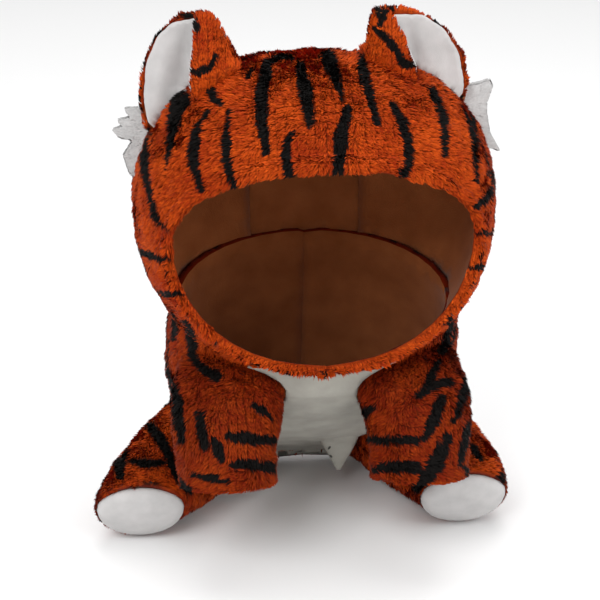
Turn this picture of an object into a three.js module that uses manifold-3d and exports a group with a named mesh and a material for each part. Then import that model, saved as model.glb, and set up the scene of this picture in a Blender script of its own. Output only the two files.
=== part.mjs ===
// Toy dog's tiger costume, worn and sitting: a striped fur hood with two ears and white side tufts,
// a fur body, two front sleeves, two closed hind legs with white soles, and a white belly panel.
// Millimetres, +Z up, the front looks towards -Y. Shapes are laid out from the floor (z = 0) and
// the whole is then lowered so that the origin is the inner crown of the hood, where it is held up.

import * as THREE from 'three';
import { mergeVertices } from 'three/addons/utils/BufferGeometryUtils.js';
import Module from 'manifold-3d';

const wasm = await Module();
wasm.setup();

// Cloth
const furWall = 7;          // knit backing with its standing pile
const earFurWall = 5;       // shorter pile on the ears
const whiteWall = 2;        // smooth white cloth
const tuftWall = 4;         // long white pile at the sides of the hood
const seamGap = 0.3;        // left between sewn pieces
const bellySink = 0.5;      // the belly panel lies this far under the ends of the pile

// Neck seam, a plane that rises towards the back
const neckHeight = 146;
const neckSlope = 0.3;

// Hood
const hoodTop = 308;
const crownHalfWidth = 38;  // the middle strip between the two sides
const crownFrontFloor = 200; // the strip ends at the brim, above the opening
const crownBackStart = 10;

// Points round each kind of ring
const hoodPoints = 40;
const bodyPoints = 36;
const sleevePoints = 20;
const legPoints = 24;

// Hood rings from the brim to the back. Each ring stands upright round the opening: its y is given at
// the top, the sides and the bottom, wide is the height of its widest place, and square is the power
// that draws its upper corners in (1) or out (less).
const hoodRings = [
  { topY: -77, sideY: -55, lowY: -62, half: 86, top: 258, wide: 212, low: 137, square: 0.92 },
  { topY: -80, sideY: -59, lowY: -66, half: 89, top: 261, wide: 212, low: 134, square: 0.92 },
  { topY: -78, sideY: -56, lowY: -63, half: 93, top: 267, wide: 212, low: 131, square: 0.9 },
  { topY: -71, sideY: -49, lowY: -57, half: 93.5, top: 270, wide: 212, low: 130, square: 0.89 },
  { topY: -64, sideY: -41, lowY: -50, half: 98, top: 279, wide: 213, low: 126, square: 0.85 },
  { topY: -48, sideY: -24, lowY: -38, half: 104, top: 292, wide: 214, low: 118, square: 0.8 },
  { topY: -25, sideY: -5, lowY: -20, half: 108, top: 303, wide: 215, low: 110, square: 0.77 },
  { topY: 0, sideY: 12, lowY: 0, half: 109, top: hoodTop, wide: 215, low: 104, square: 0.76 },
  { topY: 26, sideY: 28, lowY: 22, half: 106, top: 304, wide: 214, low: 102, square: 0.77 },
  { topY: 50, sideY: 46, lowY: 42, half: 96, top: 291, wide: 212, low: 106, square: 0.8 },
  { topY: 69, sideY: 62, lowY: 58, half: 79, top: 269, wide: 210, low: 118, square: 0.85 },
  { topY: 82, sideY: 76, lowY: 72, half: 54, top: 244, wide: 208, low: 142, square: 0.9 },
  { topY: 88, sideY: 85, lowY: 83, half: 27, top: 224, wide: 206, low: 176, square: 0.92 },
  { topY: 90, sideY: 89, lowY: 88, half: 8, top: 212, wide: 206, low: 198, square: 0.92 },
];
const hoodLowSquare = 0.92; // the same for the lower corners of every ring
const hoodSideCurve = 1.5;  // how late a ring leaves its side y on the way to its top or bottom

// Body rings from above the neck seam to the floor, with front and back in y. Arch lifts the middle
// of a ring over its sides.
const bodyRings = [
  { z: 178, front: -54, back: 80, half: 84, arch: 0 },
  { z: 150, front: -56, back: 84, half: 88, arch: 0 },
  { z: 130, front: -54, back: 87, half: 91, arch: 0 },
  { z: 110, front: -45, back: 92, half: 93, arch: 0 },
  { z: 90, front: -28, back: 97, half: 92, arch: 0 },
  { z: 70, front: -5, back: 101, half: 90, arch: 0 },
  { z: 50, front: 21, back: 104, half: 88, arch: 0 },
  { z: 30, front: 50, back: 104, half: 82, arch: 0 },
  { z: 12, front: 74, back: 100, half: 71, arch: 4 },
  { z: 3, front: 81, back: 95, half: 60, arch: 7 },
  { z: 0, front: 84, back: 92, half: 54, arch: 9 },
];

// Belly panel: half its width at each height.
const bellyEdge = [
  { z: 180, half: 40 },
  { z: 110, half: 46 },
  { z: 70, half: 56 },
  { z: 40, half: 54 },
  { z: 22, half: 46 },
  { z: 10, half: 36 },
  { z: 2, half: 28 },
];
const bellyFrontEnd = -120; // y where the cutter for the panel begins, clear of the body
const middleAtFloor = 86;   // y of the plane that parts front from back, at the floor
const middleSlope = 0.42;   // and how far it comes forward for each millimetre of height

// The panel's lower corner, a small pinched fold that hangs under the belly.
const cornerFold = [
  { z: 52, y: 30, half: 14, thick: 5 },
  { z: 38, y: 38, half: 12, thick: 4.5 },
  { z: 28, y: 39, half: 7, thick: 3.5 },
  { z: 17, y: 39, half: 1.8, thick: 1.5 },
];
const cornerFoldX = 19.8;
const cornerFoldPoints = 10;

// Sleeve rings from the shoulder down to the cuff; tilt lifts the front of a ring.
const sleeveRings = [
  { z: 140, x: 44, y: -6, halfX: 28, halfY: 24, tilt: 0 },
  { z: 128, x: 50, y: -15, halfX: 34, halfY: 29, tilt: 0.1 },
  { z: 113, x: 55, y: -33, halfX: 35.5, halfY: 33, tilt: 0.2 },
  { z: 97, x: 57.5, y: -46, halfX: 33.5, halfY: 33, tilt: 0.25 },
  { z: 80, x: 58, y: -54, halfX: 30, halfY: 30.5, tilt: 0.3 },
  { z: 69, x: 57, y: -57, halfX: 30.5, halfY: 31, tilt: 0.3 },
  { z: 63, x: 57, y: -58, halfX: 29.5, halfY: 30.5, tilt: 0.3 },
];

// Hind leg rings from the hip forward to the foot; shift moves both legs the same way, as worn,
// and lean carries the top of a ring forward.
const legRings = [
  { y: 88, x: 37, z: 44, halfX: 22, halfZ: 26, shift: 0, lean: 0 },
  { y: 74, x: 46, z: 42, halfX: 32, halfZ: 35, shift: 0, lean: 0 },
  { y: 56, x: 59, z: 41, halfX: 36, halfZ: 38, shift: 0, lean: 0 },
  { y: 36, x: 73, z: 37, halfX: 37, halfZ: 36, shift: -2, lean: 0 },
  { y: 16, x: 86, z: 33, halfX: 35, halfZ: 32.4, shift: -4, lean: 0 },
  { y: -2, x: 96, z: 30, halfX: 32.5, halfZ: 29.4, shift: -6, lean: -0.2 },
  { y: -12, x: 100, z: 28, halfX: 31, halfZ: 27.2, shift: -8, lean: -0.4 },
  { y: -20, x: 101, z: 27, halfX: 28.5, halfZ: 25.4, shift: -9, lean: -0.5 },
];
const legSquare = 0.9;      // power of a leg ring's side corners

// Sole: a white cloth cap over the foot's slanting end.
const soleInset = 1.5;      // from the outside of the foot, low and at the sides
const soleTopInset = 7;     // the fur comes down over its top
const soleTopFrom = 0.55;   // share of the height where that begins
const soleBulge = 7;
const soleRings = [
  { size: 1, rise: 0 },
  { size: 0.97, rise: 0.3 },
  { size: 0.86, rise: 0.62 },
  { size: 0.62, rise: 0.86 },
  { size: 0.3, rise: 0.98 },
  { size: 0.06, rise: 1 },
];

// Ears, as worn, the right one flopping outwards. Rows from the base to the tip: how far out from the
// middle of the hood the outer edge, the front edge and the inner fold stand, and how high; frontY
// and backY are how far the cupped wall stands before and behind the fold.
const earRows = {
  left: [
    { outer: 98, outerZ: 246, front: 72, frontZ: 266, inner: 42, innerZ: 286, frontY: 13, backY: 9 },
    { outer: 102.5, outerZ: 279, front: 73.5, frontZ: 290, inner: 46, innerZ: 303, frontY: 13, backY: 9 },
    { outer: 100, outerZ: 300, front: 72.5, frontZ: 307, inner: 51.5, innerZ: 315, frontY: 11, backY: 8 },
    { outer: 92, outerZ: 317, front: 70.5, frontZ: 320, inner: 57, innerZ: 324, frontY: 8, backY: 6 },
    { outer: 83, outerZ: 325, front: 70, frontZ: 327, inner: 61, innerZ: 329, frontY: 5.5, backY: 4.5 },
    { outer: 76, outerZ: 331, front: 70, frontZ: 333, inner: 65, innerZ: 333, frontY: 3.2, backY: 2.8 },
  ],
  right: [
    { outer: 89, outerZ: 258, front: 66, frontZ: 270, inner: 31, innerZ: 288, frontY: 13, backY: 9 },
    { outer: 91, outerZ: 285, front: 60, frontZ: 291, inner: 31.5, innerZ: 302, frontY: 13, backY: 9 },
    { outer: 87, outerZ: 303, front: 54.5, frontZ: 306, inner: 31, innerZ: 313, frontY: 11, backY: 8 },
    { outer: 77, outerZ: 318, front: 49, frontZ: 319, inner: 32, innerZ: 322, frontY: 8, backY: 6 },
    { outer: 63, outerZ: 327, front: 44.5, frontZ: 327, inner: 34, innerZ: 328, frontY: 5.5, backY: 4.5 },
    { outer: 50, outerZ: 332, front: 41.5, frontZ: 333, inner: 37, innerZ: 333, frontY: 3.2, backY: 2.8 },
  ],
};
const earY = -2;
const earBetween = 2;       // grid rows for each step between the rows above
const earFoldShare = 0.4;   // share of a section that runs from the front edge to the fold
const earTipRows = 1;       // of those, left free of lining below the tip
const earSteps = 12;
const earBorder = 0.022;    // the last step of the section, furred beyond the lining
const tangentStep = 0.02;

// White tufts beside the hood: the tips and notches of their ragged edge, seen from the front.
const tuftEdges = {
  left: [
    { x: 80, z: 272 },
    { x: 100, z: 272 },
    { x: 110, z: 272 },
    { x: 107, z: 266.5 },
    { x: 114.5, z: 265 },
    { x: 111.5, z: 261.5 },
    { x: 117.5, z: 259.5 },
    { x: 114, z: 255 },
    { x: 105.5, z: 253.5 },
    { x: 112, z: 244 },
    { x: 110, z: 236.5 },
    { x: 107.5, z: 229 },
    { x: 92, z: 236 },
  ],
  right: [
    { x: 80, z: 276 },
    { x: 92, z: 281 },
    { x: 104.5, z: 284 },
    { x: 106, z: 281 },
    { x: 103, z: 271 },
    { x: 103, z: 265 },
    { x: 105.5, z: 252 },
    { x: 112, z: 241 },
    { x: 107, z: 244 },
    { x: 92, z: 246 },
  ],
};
const tuftY = 13;

const sides = { left: -1, right: 1 };

// Colours and finish
const furColour = 0xcc5416;
const whiteColour = 0xe4e0e0;
const furFinish = { color: furColour, roughness: 0.95, metalness: 0 };
const whiteFinish = { color: whiteColour, roughness: 0.9, metalness: 0 };

// Cutters
const clear = 400;          // cutting blocks reach this far, well past the costume
const brimCut = 60;         // the hollow runs out this far in front of the brim
const openEnd = 30;         // and this far out of a cuff or a foot
const floorCut = 3;         // and this far below the body's lowest inner ring
const soleBack = { y: 10, z: 5 }; // where the sole's hollow begins, inside the foot

// Geometry helpers

const point = (x, y, z) => new THREE.Vector3(x, y, z);
const lerp = THREE.MathUtils.lerp;

// A closed solid from a grid of loops with the same number of points, its two ends capped.
function loopSolid(loops) {
  const count = loops[0].length;
  const positions = [];
  const indices = [];
  for (const loop of loops) {
    for (const p of loop) positions.push(p.x, p.y, p.z);
  }
  for (let i = 0; i + 1 < loops.length; i += 1) {
    for (let j = 0; j < count; j += 1) {
      const next = (j + 1) % count;
      const a = i * count + j;
      const b = i * count + next;
      const c = (i + 1) * count + next;
      const d = (i + 1) * count + j;
      indices.push(a, b, c, a, c, d);
    }
  }
  for (const [row, flip] of [[0, true], [loops.length - 1, false]]) {
    const centre = loops[row].reduce((sum, p) => sum.add(p), point(0, 0, 0)).divideScalar(count);
    const middle = positions.length / 3;
    positions.push(centre.x, centre.y, centre.z);
    for (let j = 0; j < count; j += 1) {
      const a = row * count + j;
      const b = row * count + (j + 1) % count;
      if (flip) indices.push(middle, b, a);
      else indices.push(middle, a, b);
    }
  }
  return solidFrom(positions, indices);
}

// A closed wall from two open grids of the same size, one inside the other.
function wallSolid(outer, inner) {
  const rows = outer.length;
  const columns = outer[0].length;
  const positions = [];
  const indices = [];
  for (const grid of [outer, inner]) {
    for (const row of grid) {
      for (const p of row) positions.push(p.x, p.y, p.z);
    }
  }
  const at = (side, i, j) => side * rows * columns + i * columns + j;
  const quad = (a, b, c, d) => indices.push(a, b, c, a, c, d);
  for (let i = 0; i + 1 < rows; i += 1) {
    for (let j = 0; j + 1 < columns; j += 1) {
      quad(at(0, i, j), at(0, i, j + 1), at(0, i + 1, j + 1), at(0, i + 1, j));
      quad(at(1, i, j), at(1, i + 1, j), at(1, i + 1, j + 1), at(1, i, j + 1));
    }
    quad(at(0, i, 0), at(0, i + 1, 0), at(1, i + 1, 0), at(1, i, 0));
    quad(at(0, i, columns - 1), at(1, i, columns - 1), at(1, i + 1, columns - 1), at(0, i + 1, columns - 1));
  }
  for (let j = 0; j + 1 < columns; j += 1) {
    quad(at(0, 0, j), at(1, 0, j), at(1, 0, j + 1), at(0, 0, j + 1));
    quad(at(0, rows - 1, j), at(0, rows - 1, j + 1), at(1, rows - 1, j + 1), at(1, rows - 1, j));
  }
  return solidFrom(positions, indices);
}

// Turns the faces outwards if the loops ran the other way round.
function solidFrom(positions, indices) {
  let volume = 0;
  const a = point(0, 0, 0);
  const b = point(0, 0, 0);
  const c = point(0, 0, 0);
  for (let i = 0; i < indices.length; i += 3) {
    a.fromArray(positions, indices[i] * 3);
    b.fromArray(positions, indices[i + 1] * 3);
    c.fromArray(positions, indices[i + 2] * 3);
    volume += a.dot(b.cross(c));
  }
  if (volume < 0) {
    for (let i = 0; i < indices.length; i += 3) {
      [indices[i + 1], indices[i + 2]] = [indices[i + 2], indices[i + 1]];
    }
  }
  const mesh = new wasm.Mesh({
    numProp: 3,
    vertProperties: Float32Array.from(positions),
    triVerts: Uint32Array.from(indices),
  });
  mesh.merge();
  return new wasm.Manifold(mesh);
}

// A three.js geometry as a solid.
function geometrySolid(geometry) {
  const bare = geometry.clone();
  bare.deleteAttribute('normal');
  bare.deleteAttribute('uv');
  const merged = mergeVertices(bare);
  return solidFrom(Array.from(merged.attributes.position.array), Array.from(merged.index.array));
}

// Every point of a grid moved along the surface's normal, away from the loop's centre if distance > 0.
function movedOut(loops, distance) {
  const count = loops[0].length;
  return loops.map((loop, i) => {
    const before = loops[Math.max(i - 1, 0)];
    const after = loops[Math.min(i + 1, loops.length - 1)];
    const centre = loop.reduce((sum, p) => sum.add(p), point(0, 0, 0)).divideScalar(count);
    return loop.map((p, j) => {
      const round = loop[(j + 1) % count].clone().sub(loop[(j + count - 1) % count]);
      const along = after[j].clone().sub(before[j]);
      const normal = round.cross(along).normalize();
      if (normal.dot(p.clone().sub(centre)) < 0) normal.negate();
      return p.clone().addScaledVector(normal, distance);
    });
  });
}

// A loop moved as a whole.
const carried = (loop, x, y, z) => loop.map((p) => p.clone().add(point(x, y, z)));

// A box from its two corners.
function block(low, high) {
  const size = high.map((value, i) => value - low[i]);
  const geometry = new THREE.BoxGeometry(...size);
  geometry.translate(...low.map((value, i) => value + size[i] / 2));
  return geometrySolid(geometry);
}

// Forms

function hoodLoops() {
  return hoodRings.map((ring) => {
    const loop = [];
    for (let j = 0; j < hoodPoints; j += 1) {
      const angle = (j / hoodPoints) * Math.PI * 2;
      const across = Math.cos(angle);
      const up = Math.sin(angle);
      const [endY, reach, square] = up > 0
        ? [ring.topY, ring.top - ring.wide, ring.square]
        : [ring.lowY, ring.wide - ring.low, hoodLowSquare];
      const x = ring.half * Math.sign(across) * Math.abs(across) ** square;
      const y = lerp(ring.sideY, endY, Math.abs(up) ** hoodSideCurve);
      loop.push(point(x, y, ring.wide + reach * up));
    }
    return loop;
  });
}

function bodyLoops() {
  return bodyRings.map((ring) => {
    const loop = [];
    const middle = (ring.front + ring.back) / 2;
    const reach = (ring.back - ring.front) / 2;
    for (let j = 0; j < bodyPoints; j += 1) {
      const angle = (j / bodyPoints) * Math.PI * 2;
      const lift = ring.arch * Math.sin(angle) ** 2;
      loop.push(point(ring.half * Math.cos(angle), middle + reach * Math.sin(angle), ring.z + lift));
    }
    return loop;
  });
}

function sleeveLoops(side) {
  return sleeveRings.map((ring) => {
    const loop = [];
    for (let j = 0; j < sleevePoints; j += 1) {
      const angle = (j / sleevePoints) * Math.PI * 2;
      const x = side * (ring.x + ring.halfX * Math.cos(angle));
      const back = ring.halfY * Math.sin(angle);
      loop.push(point(x, ring.y + back, ring.z - ring.tilt * back));
    }
    return loop;
  });
}

function legLoops(side) {
  return legRings.map((ring) => {
    const loop = [];
    for (let j = 0; j < legPoints; j += 1) {
      const angle = (j / legPoints) * Math.PI * 2;
      const across = Math.cos(angle);
      const up = ring.halfZ * Math.sin(angle);
      const reach = ring.halfX * Math.sign(across) * Math.abs(across) ** legSquare;
      const x = side * (ring.x + reach) + ring.shift;
      loop.push(point(x, ring.y + ring.lean * up, ring.z + up));
    }
    return loop;
  });
}

// The wedge that holds the belly panel: its outline from the front, back to the body's middle plane.
function bellyWedge(gap) {
  const outline = [];
  for (const row of bellyEdge) outline.push([-(row.half - gap), row.z + gap]);
  for (const row of [...bellyEdge].reverse()) outline.push([row.half - gap, row.z + gap]);
  const front = outline.map(([x, z]) => point(x, bellyFrontEnd, z));
  const back = outline.map(([x, z]) => point(x, middleAtFloor - middleSlope * z, z));
  return loopSolid([front, back]);
}

function cornerFoldSolid() {
  const loops = cornerFold.map((row) => {
    const loop = [];
    for (let j = 0; j < cornerFoldPoints; j += 1) {
      const angle = (j / cornerFoldPoints) * Math.PI * 2;
      loop.push(point(cornerFoldX + row.half * Math.cos(angle), row.y + row.thick * Math.sin(angle), row.z));
    }
    return loop;
  });
  return loopSolid(loops);
}

// The slanting cap over a foot: loops that shrink towards the middle and bulge away from the foot.
function soleLoops(rim, thickness) {
  const centre = rim.reduce((sum, p) => sum.add(p), point(0, 0, 0)).divideScalar(rim.length);
  const first = rim[0].clone().sub(centre);
  const quarter = rim[Math.round(rim.length / 4)].clone().sub(centre);
  const outward = first.cross(quarter).normalize();
  if (outward.y > 0) outward.negate();
  const top = Math.max(...rim.map((p) => p.z));
  const low = Math.min(...rim.map((p) => p.z));
  const outline = rim.map((p) => {
    const height = (p.z - low) / (top - low);
    const inset = lerp(soleInset, soleTopInset, THREE.MathUtils.smoothstep(height, soleTopFrom, 1));
    const inward = centre.clone().sub(p).normalize();
    return p.clone().addScaledVector(inward, inset + thickness);
  });
  return soleRings.map(({ size, rise }) => outline.map((p) => {
    const placed = centre.clone().lerp(p, size);
    return placed.addScaledVector(outward, seamGap + (soleBulge - thickness) * rise);
  }));
}

// One section of an ear: from its front edge round the inner fold to the outer edge.
function earPoint(side, row, s) {
  const toFold = Math.min(s / earFoldShare, 1) * Math.PI / 2;
  const toEdge = Math.max((s - earFoldShare) / (1 - earFoldShare), 0) * Math.PI / 2;
  if (toEdge > 0) {
    const out = 1 - Math.cos(toEdge);
    const x = lerp(row.inner, row.outer, out);
    return point(side * x, earY + row.backY * Math.sin(toEdge), lerp(row.innerZ, row.outerZ, out));
  }
  const round = Math.sin(toFold);
  const x = lerp(row.front, row.inner, round);
  return point(side * x, earY - row.frontY * Math.cos(toFold), lerp(row.frontZ, row.innerZ, round));
}

// A row between two rows of the ear table.
function rowBetween(low, high, t) {
  return Object.fromEntries(Object.keys(low).map((name) => [name, lerp(low[name], high[name], t)]));
}

// The ear's wall at a distance in front of its back, whole for the plush or, for the lining, short of
// the furred tip and outer border.
function earGrid(name, distance, whole) {
  const side = sides[name];
  const rows = [];
  earRows[name].slice(0, -1).forEach((low, i) => {
    for (let k = 0; k < earBetween; k += 1) rows.push(rowBetween(low, earRows[name][i + 1], k / earBetween));
  });
  const places = [];
  for (let j = 0; j < earSteps; j += 1) places.push((1 - earBorder) * (j / (earSteps - 1)));
  if (whole) {
    rows.push(earRows[name][earRows[name].length - 1]);
    places.push(1);
  } else {
    rows.splice(-earTipRows);
  }
  return rows.map((row) => places.map((s) => {
    const after = earPoint(side, row, Math.min(s + tangentStep, 1));
    const tangent = after.sub(earPoint(side, row, Math.max(s - tangentStep, 0)));
    const outwards = point(-tangent.y * side, tangent.x * side, 0).normalize();
    return earPoint(side, row, s).addScaledVector(outwards, -distance);
  }));
}

function tuftSolid(name) {
  const shape = new THREE.Shape(tuftEdges[name].map((row) => new THREE.Vector2(row.x, row.z)));
  const geometry = new THREE.ExtrudeGeometry(shape, { depth: tuftWall, bevelEnabled: false });
  geometry.rotateX(Math.PI / 2);
  geometry.translate(0, tuftY + tuftWall, 0);
  geometry.scale(sides[name], 1, 1);
  return geometrySolid(geometry);
}

// Everything above (or below) the neck seam, from a given distance beyond it.
function neckBlock(above, distance) {
  const shift = (above ? 1 : -1) * distance;
  const end = (above ? 1 : -1) * 2 * clear;
  const corners = [[-clear, -clear], [clear, -clear], [clear, clear], [-clear, clear]];
  const seam = corners.map(([x, y]) => point(x, y, neckHeight + shift + neckSlope * y));
  const cap = corners.map(([x, y]) => point(x, y, end));
  return loopSolid([seam, cap]);
}

// Volumes

const hoodGrid = hoodLoops();
const bodyGrid = bodyLoops();
const hoodOuter = loopSolid(hoodGrid);
const hoodGrown = loopSolid(movedOut(hoodGrid, seamGap));
const bodyOuter = loopSolid(bodyGrid);
const bodyGrown = loopSolid(movedOut(bodyGrid, seamGap));
const aboveNeck = neckBlock(true, seamGap / 2);
const belowNeck = neckBlock(false, seamGap / 2);

// The front is open: the hollow runs out through the brim's own edge, and starts at full thickness
// behind the rolled hem.
const hemRings = 3;
const hoodInside = movedOut(hoodGrid, -furWall).slice(hemRings);
const hoodHollow = loopSolid([carried(hoodGrid[0], 0, -brimCut, 0), hoodGrid[0], ...hoodInside]);

const floorRings = 2;
const bodyInside = movedOut(bodyGrid, -furWall).slice(0, -floorRings);
const bodyFloor = carried(bodyInside[bodyInside.length - 1], 0, 0, -floorCut);
const bodyHollow = loopSolid([...bodyInside, bodyFloor]);

const sleeveGrids = {};
const legGrids = {};
const sleeveGrown = {};
const legGrown = {};
const hoodPart = hoodHollow.intersect(neckBlock(true, -seamGap));
let hollows = hoodPart.add(bodyHollow.intersect(neckBlock(false, -seamGap)));
for (const [name, side] of Object.entries(sides)) {
  sleeveGrids[name] = sleeveLoops(side);
  legGrids[name] = legLoops(side);
  sleeveGrown[name] = loopSolid(movedOut(sleeveGrids[name], seamGap));
  legGrown[name] = loopSolid(movedOut(legGrids[name], seamGap));
  const sleeveInside = movedOut(sleeveGrids[name], -furWall);
  const throughCuff = carried(sleeveInside[sleeveInside.length - 1], 0, 0, -openEnd);
  hollows = hollows.add(loopSolid([...sleeveInside, throughCuff]));
  const legInside = movedOut(legGrids[name], -furWall);
  const throughFoot = carried(legInside[legInside.length - 1], 0, -openEnd, 0);
  hollows = hollows.add(loopSolid([...legInside, throughFoot]));
}

// Pieces

const pieces = [];
const keep = (name, solid, finish) => pieces.push({ name, solid, finish });

const hoodShell = hoodOuter.subtract(hollows).intersect(aboveNeck);
function crownBlock(half, gap) {
  const over = block([-half, -clear, crownFrontFloor - gap], [half, clear, clear]);
  const behind = block([-half, crownBackStart - gap, 0], [half, clear, clear]);
  return over.add(behind);
}
keep('hood_crown', hoodShell.intersect(crownBlock(crownHalfWidth, 0)), furFinish);
const hoodSides = hoodShell.subtract(crownBlock(crownHalfWidth + seamGap, seamGap));
const leftHalf = block([-clear, -clear, -clear], [-seamGap / 2, clear, clear]);
const rightHalf = block([seamGap / 2, -clear, -clear], [clear, clear, clear]);
keep('hood_left', hoodSides.intersect(leftHalf), furFinish);
keep('hood_right', hoodSides.intersect(rightHalf), furFinish);

for (const name of Object.keys(sides)) {
  const back = wallSolid(earGrid(name, -earFurWall, true), earGrid(name, 0, true));
  keep(`ear_back_${name}`, back.subtract(hoodGrown), furFinish);
  const lining = wallSolid(earGrid(name, seamGap, false), earGrid(name, seamGap + whiteWall, false));
  keep(`ear_lining_${name}`, lining.subtract(hoodGrown), whiteFinish);
  keep(`tuft_${name}`, tuftSolid(name).subtract(hoodGrown), whiteFinish);
}

const bodyShell = bodyOuter.subtract(hollows).subtract(bellyWedge(0)).intersect(belowNeck);
keep('body_left', bodyShell.intersect(leftHalf), furFinish);
keep('body_right', bodyShell.intersect(rightHalf), furFinish);

const bellyOutside = loopSolid(movedOut(bodyGrid, -bellySink));
const bellyInside = loopSolid(movedOut(bodyGrid, -bellySink - whiteWall));
let belly = bellyOutside.add(cornerFoldSolid()).subtract(bellyInside);
belly = belly.intersect(bellyWedge(seamGap)).intersect(belowNeck);
for (const name of Object.keys(sides)) {
  belly = belly.subtract(sleeveGrown[name]).subtract(legGrown[name]);
}
keep('belly', belly, whiteFinish);

for (const name of Object.keys(sides)) {
  const sleeve = loopSolid(sleeveGrids[name]).subtract(bodyGrown).subtract(hollows).intersect(belowNeck);
  keep(`sleeve_${name}`, sleeve, furFinish);
  const leg = loopSolid(legGrids[name]).subtract(bodyGrown).subtract(hollows).subtract(sleeveGrown[name]);
  keep(`leg_${name}`, leg, furFinish);
  const rim = legGrids[name][legGrids[name].length - 1];
  const cap = loopSolid(soleLoops(rim, 0)).subtract(loopSolid([
    carried(soleLoops(rim, whiteWall)[0], 0, soleBack.y, soleBack.z),
    ...soleLoops(rim, whiteWall),
  ]));
  keep(`sole_${name}`, cap, whiteFinish);
}

// Scene

const costume = new THREE.Group();
for (const { name, solid, finish } of pieces) {
  const data = solid.getMesh();
  const geometry = new THREE.BufferGeometry();
  geometry.setAttribute('position', new THREE.BufferAttribute(data.vertProperties, 3));
  geometry.setIndex(new THREE.BufferAttribute(data.triVerts, 1));
  const mesh = new THREE.Mesh(geometry, new THREE.MeshStandardMaterial(finish));
  mesh.name = name;
  costume.add(mesh);
}
costume.position.z = -(hoodTop - furWall);

export default costume;
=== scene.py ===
import math

import bmesh
import bpy
import numpy as np
from mathutils import Matrix, Vector
from mathutils.bvhtree import BVHTree
from mathutils.kdtree import KDTree


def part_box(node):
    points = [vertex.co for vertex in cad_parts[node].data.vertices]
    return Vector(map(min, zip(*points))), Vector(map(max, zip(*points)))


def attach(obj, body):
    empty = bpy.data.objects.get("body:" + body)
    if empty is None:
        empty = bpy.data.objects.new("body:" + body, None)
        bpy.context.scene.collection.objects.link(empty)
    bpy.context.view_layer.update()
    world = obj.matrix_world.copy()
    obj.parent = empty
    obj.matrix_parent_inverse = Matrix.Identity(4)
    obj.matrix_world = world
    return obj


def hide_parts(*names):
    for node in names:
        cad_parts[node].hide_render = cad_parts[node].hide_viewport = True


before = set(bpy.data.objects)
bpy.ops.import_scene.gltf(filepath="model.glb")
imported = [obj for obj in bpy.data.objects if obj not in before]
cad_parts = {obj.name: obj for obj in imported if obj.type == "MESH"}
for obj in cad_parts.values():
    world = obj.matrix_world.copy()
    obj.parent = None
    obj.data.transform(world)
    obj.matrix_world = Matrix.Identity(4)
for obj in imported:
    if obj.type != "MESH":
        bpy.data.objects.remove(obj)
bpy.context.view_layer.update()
print("frame loaded:", len(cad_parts), "nodes")

# Everything is in metres. The origin is the inner crown of the hood.
floorHeight = -0.301

# The camera stands at the photo's view: above the costume and a little to the viewer's left.
photoCamera = {
    "elevation": 22.0,
    "azimuth": -5.0,
    "distance": 1.0,
    "lens": 100.0,
    "sensor": 36.0,
    "target": Vector((-0.010, -0.010, floorHeight + 0.158)),
    "pixels": 600,
}


def makeCamera(settings):
    azimuth = math.radians(settings["azimuth"])
    elevation = math.radians(settings["elevation"])
    level = math.cos(elevation)
    back = Vector((math.sin(azimuth) * level, -math.cos(azimuth) * level, math.sin(elevation)))
    data = bpy.data.cameras.new("camera")
    data.lens = settings["lens"]
    data.sensor_width = settings["sensor"]
    data.clip_start = 0.01
    data.clip_end = 50
    camera = bpy.data.objects.new("camera", data)
    bpy.context.scene.collection.objects.link(camera)
    camera.location = settings["target"] + back * settings["distance"]
    camera.rotation_mode = "QUATERNION"
    camera.rotation_quaternion = (-back).to_track_quat("-Z", "Y")
    bpy.context.scene.camera = camera
    return camera


camera = makeCamera(photoCamera)
cameraSpot = np.array(camera.location)
cameraAxes = np.array(camera.rotation_quaternion.to_matrix())


def photoPlace(points):
    # Where points show in the 600 x 600 view, for laying the stripes out on the front.
    local = (points - cameraSpot) @ cameraAxes
    scale = photoCamera["lens"] / photoCamera["sensor"] * photoCamera["pixels"]
    half = photoCamera["pixels"] / 2
    shown = local[:, :2] / local[:, 2:] * scale
    return np.stack([half - shown[:, 0], half + shown[:, 1]], axis=1)


# Soft random fields

def latticeNoise(points, cell, seed):
    # Three smooth random values from -1 to 1 at each point, changing over about one cell.
    place = points / cell
    base = np.floor(place).astype(np.int64)
    part = place - base
    part = part * part * (3 - 2 * part)
    total = np.zeros((len(points), 3))
    for corner in range(8):
        step = np.array([corner & 1, corner >> 1 & 1, corner >> 2 & 1])
        weight = np.prod(np.where(step, part, 1 - part), axis=1)
        total += weight[:, None] * latticeValue(base + step, seed)
    return total


def latticeValue(cells, seed):
    # Three fixed values from -1 to 1 for each cell, from a plain integer hash.
    key = cells[:, 0] * 73856093 ^ cells[:, 1] * 19349663 ^ cells[:, 2] * 83492791
    key = key ^ (seed * 2654435761 & 0xFFFFFFFF)
    values = []
    for turn in range(3):
        mixed = (key + turn * 374761393) & 0xFFFFFFFF
        mixed = (mixed ^ mixed >> 15) * 2246822519 & 0xFFFFFFFF
        mixed = (mixed ^ mixed >> 13) * 3266489917 & 0xFFFFFFFF
        mixed = mixed ^ mixed >> 16
        values.append(mixed / 0xFFFFFFFF * 2 - 1)
    return np.stack(values, axis=1)


def unit(vectors):
    return vectors / np.maximum(np.linalg.norm(vectors, axis=1, keepdims=True), 1e-9)


# Materials

def newMaterial(name):
    material = bpy.data.materials.new(name)
    material.use_nodes = True
    nodes = material.node_tree.nodes
    nodes.clear()
    output = nodes.new("ShaderNodeOutputMaterial")
    shader = nodes.new("ShaderNodeBsdfPrincipled")
    material.node_tree.links.new(shader.outputs["BSDF"], output.inputs["Surface"])
    return material, nodes, material.node_tree.links, shader


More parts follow.
